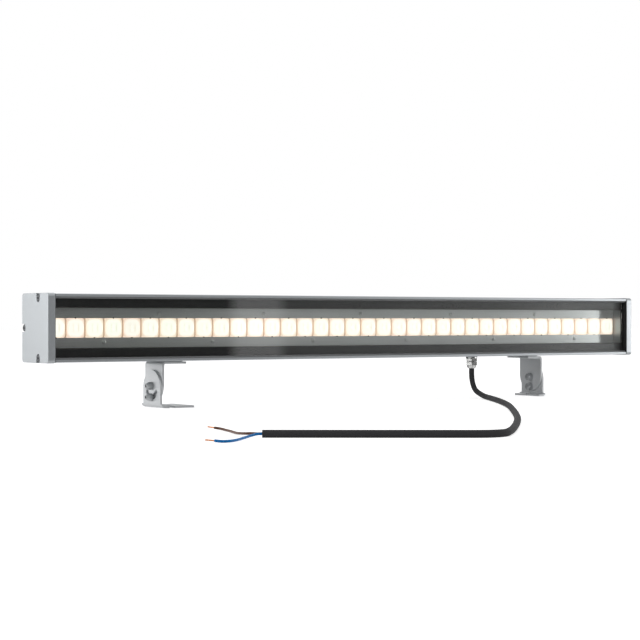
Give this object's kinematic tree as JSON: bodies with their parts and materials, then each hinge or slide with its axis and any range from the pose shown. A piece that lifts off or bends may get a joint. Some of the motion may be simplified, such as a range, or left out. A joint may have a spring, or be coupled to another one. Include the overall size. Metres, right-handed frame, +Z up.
{
  "type": "linear wall washer light",
  "caption": "Long aluminium light bar with a row of square lenses behind recessed glass, on two tilting feet, with a gland and a stripped two-core cord lying on the floor.",
  "frame": {"origin": "bottom centre of the light without its cord, on the plane that the feet stand on", "axes": "+X along the light to the right as its glass is faced, +Y towards its back, +Z up"},
  "size_m": [1.09, 0.7482, 0.1516],
  "materials": {
    "housing": "anodised",
    "end_cap": "satin painted",
    "bracket": "satin",
    "seal": "matte",
    "fastener": "satin",
    "glass": "clear",
    "black_trim": "satin black",
    "clamp": "satin grey",
    "lens": "clear moulded",
    "board": "solder mask",
    "driver": "moulded",
    "terminal": "moulded",
    "gland": "nickel plated",
    "cord": "matte",
    "wire_brown": "smooth",
    "wire_blue": "smooth",
    "copper": "bare copper"
  },
  "bodies": {
    "luminaire": {"housing_profile": "housing", "end_cap_left": "end_cap", "end_cap_right": "end_cap", "end_gasket_left": "seal", "end_gasket_right": "seal", "end_cap_screw_left_top": "fastener", "end_cap_screw_left_bottom": "fastener", "end_cap_screw_left_rear": "fastener", "end_cap_screw_right_top": "fastener", "end_cap_screw_right_bottom": "fastener", "end_cap_screw_right_rear": "fastener", "front_glass": "glass", "glass_seal": "seal", "black_trim_top": "black_trim", "black_trim_bottom": "black_trim", "lens_clamp_top": "clamp", "lens_clamp_bottom": "clamp", "lens_strip_1": "lens", "lens_strip_2": "lens", "lens_strip_3": "lens", "lens_strip_4": "lens", "lens_strip_5": "lens", "lens_strip_6": "lens", "led_board_1": "board", "led_board_2": "board", "led_board_3": "board", "led_driver": "driver", "driver_screw_left": "fastener", "driver_screw_right": "fastener", "terminal_block": "terminal", "upper_bracket_left": "bracket", "upper_bracket_right": "bracket", "bracket_bolt_left_front": "fastener", "bracket_bolt_left_rear": "fastener", "bracket_bolt_right_front": "fastener", "bracket_bolt_right_rear": "fastener", "bracket_backing_left": "fastener", "bracket_backing_right": "fastener", "pivot_bolt_left": "fastener", "lock_bolt_left": "fastener", "pivot_nut_left": "fastener", "lock_nut_left": "fastener", "pivot_bolt_right": "fastener", "lock_bolt_right": "fastener", "pivot_nut_right": "fastener", "lock_nut_right": "fastener", "gland_washer": "seal", "gland_body": "gland", "gland_nut": "gland", "gland_lock_nut": "gland", "inner_lead": "cord", "inner_wire_brown": "wire_brown", "inner_wire_blue": "wire_blue", "supply_cord": "cord", "wire_brown": "wire_brown", "wire_blue": "wire_blue", "copper_brown": "copper", "copper_blue": "copper"},
    "foot_left": {"foot_left": "bracket"},
    "foot_right": {"foot_right": "bracket"}
  },
  "joints": [
    {"name": "foot_left_tilt", "type": "hinge", "parent": "luminaire", "child": "foot_left", "pos_m": [-0.329, 0, 0.029], "axis": [1, 0, 0], "range_deg": [-55, 55]},
    {"name": "foot_right_tilt", "type": "hinge", "parent": "luminaire", "child": "foot_right", "pos_m": [0.329, 0, 0.029], "axis": [1, 0, 0], "range_deg": [-55, 55]}
  ],
  "couplings": [
    {"joint": "foot_right_tilt", "follows": "foot_left_tilt", "ratio": 1}
  ]
}
